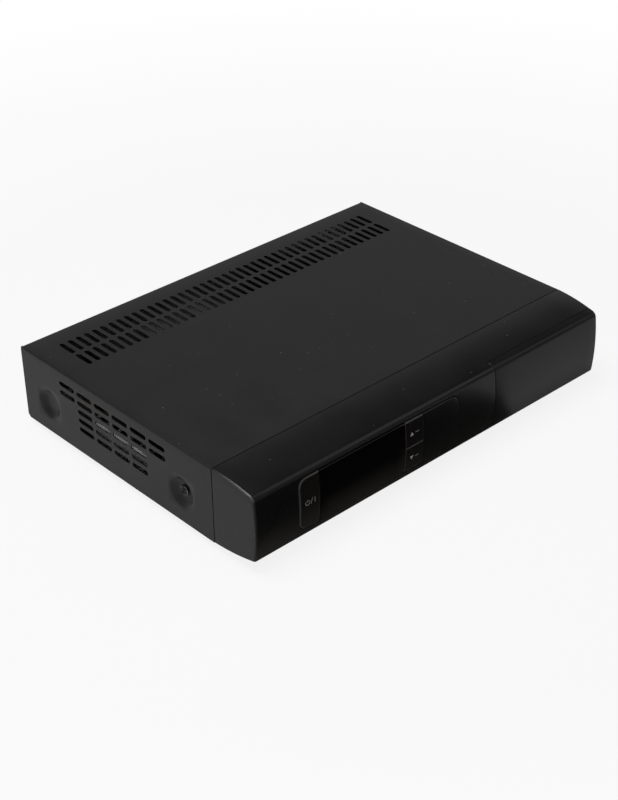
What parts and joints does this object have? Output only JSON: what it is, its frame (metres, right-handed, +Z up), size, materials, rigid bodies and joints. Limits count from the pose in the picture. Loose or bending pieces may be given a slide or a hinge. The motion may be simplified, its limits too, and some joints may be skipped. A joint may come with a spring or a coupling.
{
  "type": "television decoder box",
  "caption": "Flat black set-top receiver with a slotted sheet-metal case, bowed plastic front, display window, front keys, hinged card flap and rear sockets.",
  "frame": {"origin": "centre of the bounding box at the level the rubber feet stand on", "axes": "+Z up, -Y out of the front with the keys and display, +X to the right seen from the front"},
  "size_m": [0.34, 0.2605, 0.064],
  "materials": {
    "cover_paint": "fine textured black paint",
    "bezel_plastic": "satin black moulding",
    "key_plastic": "dark satin moulding",
    "window_smoke": "glossy smoked window",
    "plated_steel": "zinc-plated sheet",
    "screw_black": "blackened steel",
    "screw_zinc": "zinc-plated steel",
    "foot_rubber": "matt rubber",
    "signal_board": "green solder mask",
    "supply_board": "bare paper laminate",
    "socket_black": "black moulding",
    "socket_shell": "tin-plated shell",
    "contact_brass": "nickel-plated brass",
    "sink_aluminium": "plain aluminium",
    "sink_dark": "dark anodised",
    "capacitor_sleeve": "shrink sleeve",
    "coil_tape": "amber tape over windings",
    "wire_sleeve": "wire insulation",
    "ribbon_grey": "grey flat cable",
    "display_glass": "display tube glass",
    "magnet_dark": "sintered magnet"
  },
  "bodies": {
    "case": {"base_chassis": "plated_steel", "rear_panel": "plated_steel", "top_cover": "cover_paint", "cover_side_screws": "screw_black", "cover_rear_screws": "screw_black", "rear_panel_screws": "screw_zinc", "rubber_feet": "foot_rubber", "foot_screws": "screw_zinc", "front_bezel": "bezel_plastic", "bezel_screws": "screw_zinc", "display_window": "window_smoke", "infill_panel": "bezel_plastic", "flap_frame": "bezel_plastic", "flap_hinge_pins": "screw_zinc", "flap_magnet": "magnet_dark", "front_board": "signal_board", "front_board_screws": "screw_zinc", "display_module": "display_glass", "tact_switches": "socket_black", "infrared_receiver": "socket_black", "board_standoffs": "screw_zinc", "board_screws": "screw_zinc", "main_board": "signal_board", "processor_heat_sink": "sink_dark", "board_chips": "socket_black", "board_capacitors": "capacitor_sleeve", "tuner_can": "socket_shell", "aerial_sockets": "contact_brass", "card_cage": "plated_steel", "front_usb_socket": "socket_shell", "rear_usb_socket": "socket_shell", "scart_sockets": "socket_black", "phono_block": "socket_black", "phono_jacks": "contact_brass", "hdmi_socket": "socket_shell", "network_socket": "socket_shell", "optical_socket": "socket_black", "serial_socket": "socket_shell", "power_board": "supply_board", "transformer": "coil_tape", "bulk_capacitor": "capacitor_sleeve", "power_heat_sink": "sink_aluminium", "mains_fuse": "contact_brass", "mains_inlet": "socket_black", "mains_switch": "socket_black", "mains_wires": "wire_sleeve", "power_lead": "wire_sleeve", "front_ribbon": "ribbon_grey"},
    "flap": {"flap_door": "bezel_plastic", "flap_keeper": "plated_steel"},
    "power_key": {"power_button": "key_plastic"},
    "channel_up_key": {"channel_up_button": "key_plastic"},
    "channel_down_key": {"channel_down_button": "key_plastic"},
    "rocker": {"mains_rocker": "socket_black"}
  },
  "joints": [
    {"name": "flap_hinge", "type": "hinge", "parent": "case", "child": "flap", "pos_m": [0, -0.12325, 0.0143], "axis": [1, 0, 0], "range_deg": [0, 90]},
    {"name": "power_press", "type": "slide", "parent": "case", "child": "power_key", "axis": [0, 1, 0], "range_m": [0, 0.0007], "stiffness_N_per_m": 1500},
    {"name": "channel_up_press", "type": "slide", "parent": "case", "child": "channel_up_key", "axis": [0, 1, 0], "range_m": [0, 0.0007], "stiffness_N_per_m": 1500},
    {"name": "channel_down_press", "type": "slide", "parent": "case", "child": "channel_down_key", "axis": [0, 1, 0], "range_m": [0, 0.0007], "stiffness_N_per_m": 1500},
    {"name": "rocker_tip", "type": "hinge", "parent": "case", "child": "rocker", "pos_m": [-0.1102, 0.11695, 0.0305], "axis": [1, 0, 0], "range_deg": [-18, 0]}
  ]
}
